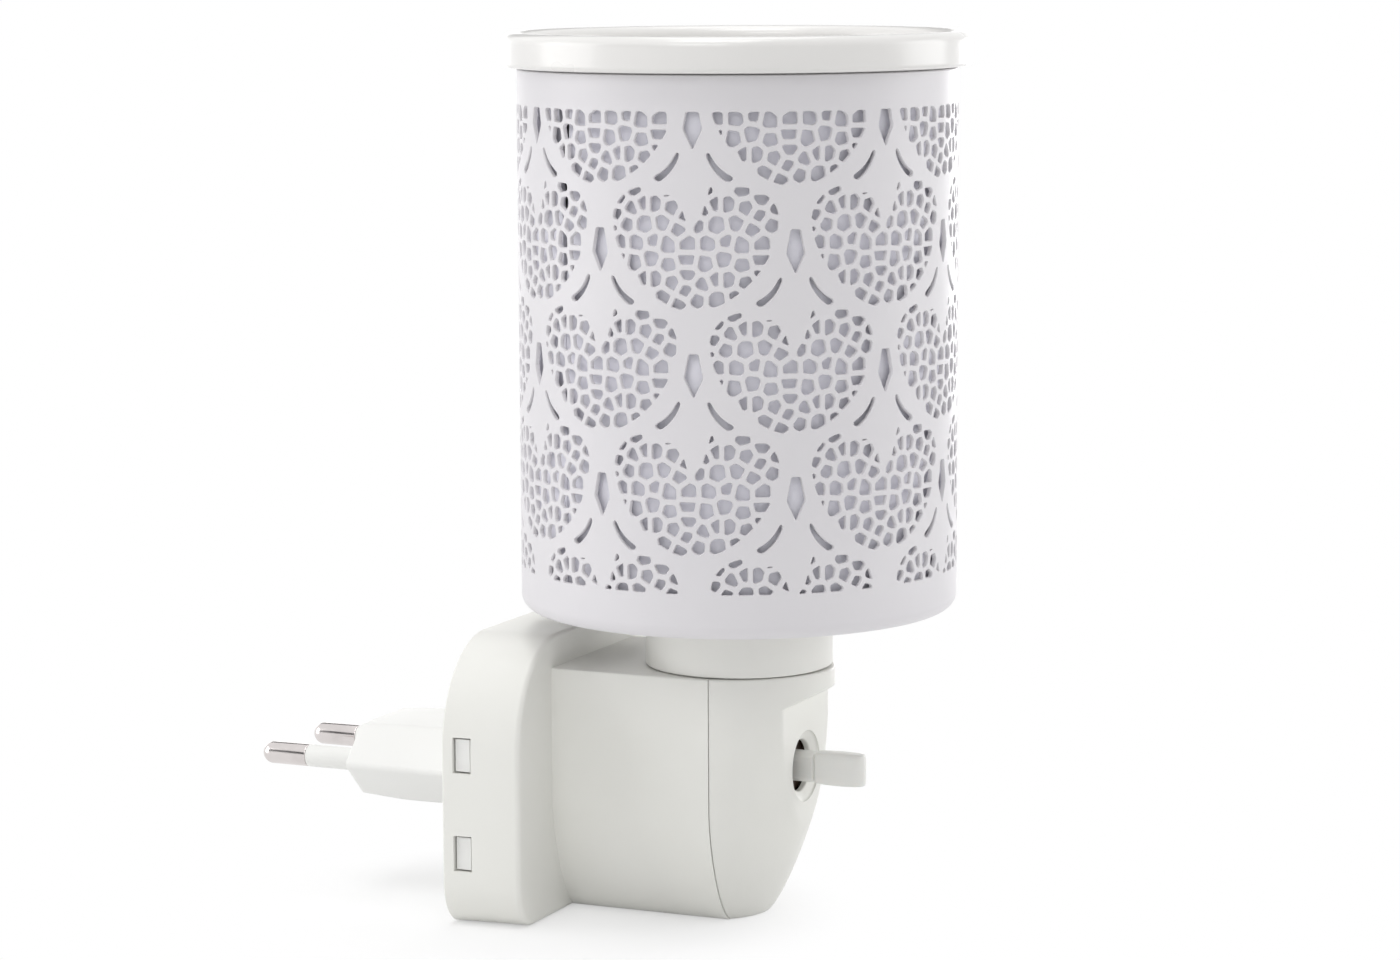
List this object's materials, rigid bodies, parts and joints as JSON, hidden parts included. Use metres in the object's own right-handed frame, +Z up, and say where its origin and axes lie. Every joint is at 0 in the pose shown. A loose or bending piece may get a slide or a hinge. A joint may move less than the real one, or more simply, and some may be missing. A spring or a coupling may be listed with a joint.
{
  "type": "electric aroma lamp",
  "caption": "Plug-in aroma lamp: punched cylindrical metal shade with a lift-off dish on a moulded housing with a turning key switch, wall flange and two-pin plug.",
  "frame": {"origin": "on the flat underside, directly below the axis of the shade and lamp holder", "axes": "+Z up along the shade's axis, +Y toward the wall socket, the switch key faces -Y, +X to the right as seen from the front"},
  "size_m": [0.08, 0.1295, 0.1525],
  "materials": {
    "base_plastic": "fine-grained satin white moulding with a faint green cast",
    "key_plastic": "slightly translucent grey-white moulding",
    "pin_metal": "nickel-plated brass",
    "brass": "plain pressed brass",
    "steel": "zinc-plated or bright steel",
    "bakelite": "dark brown thermoset",
    "brown_wire": "smooth wire insulation",
    "blue_wire": "smooth wire insulation",
    "bulb_metal": "pressed cap metal and solder",
    "bulb_glass": "clear lamp glass",
    "shade_paint": "satin white coating on punched steel sheet",
    "liner_sheet": "translucent white sheet",
    "dish_glaze": "smooth white glaze"
  },
  "bodies": {
    "base": {"rear_housing": "base_plastic", "front_cover": "base_plastic", "plug_plate": "base_plastic", "pin_sleeve_left": "base_plastic", "pin_sleeve_right": "base_plastic", "lamp_holder": "base_plastic", "plug_pin_left": "pin_metal", "plug_pin_right": "pin_metal", "pin_terminal_left": "brass", "pin_terminal_right": "brass", "switch_contact_left": "brass", "switch_contact_right": "brass", "screw_shell": "brass", "shell_rivet": "brass", "centre_contact": "brass", "cover_screw_left": "steel", "cover_screw_right": "steel", "spring_washer": "steel", "filament": "steel", "switch_body": "bakelite", "bulb_insulator": "bakelite", "live_wire": "brown_wire", "switched_wire": "brown_wire", "neutral_wire": "blue_wire", "bulb_tip": "bulb_metal", "bulb_cap": "bulb_metal", "bulb_glass": "bulb_glass", "bulb_stem": "bulb_glass"},
    "key": {"switch_key": "key_plastic", "switch_rotor": "bakelite", "bridge_contact": "brass"},
    "shade": {"shade_wall": "shade_paint", "shade_base": "shade_paint", "diffuser_liner": "liner_sheet"},
    "dish": {"dish": "dish_glaze"}
  },
  "joints": [
    {"name": "key_turn", "type": "hinge", "parent": "base", "child": "key", "pos_m": [0, -0.0125, 0.0264], "axis": [0, -1, 0], "continuous": true},
    {"name": "shade_lift", "type": "slide", "parent": "base", "child": "shade", "axis": [0, 0, 1], "range_m": [0, 0.06]},
    {"name": "dish_lift", "type": "slide", "parent": "shade", "child": "dish", "axis": [0, 0, 1], "range_m": [0, 0.03]}
  ]
}
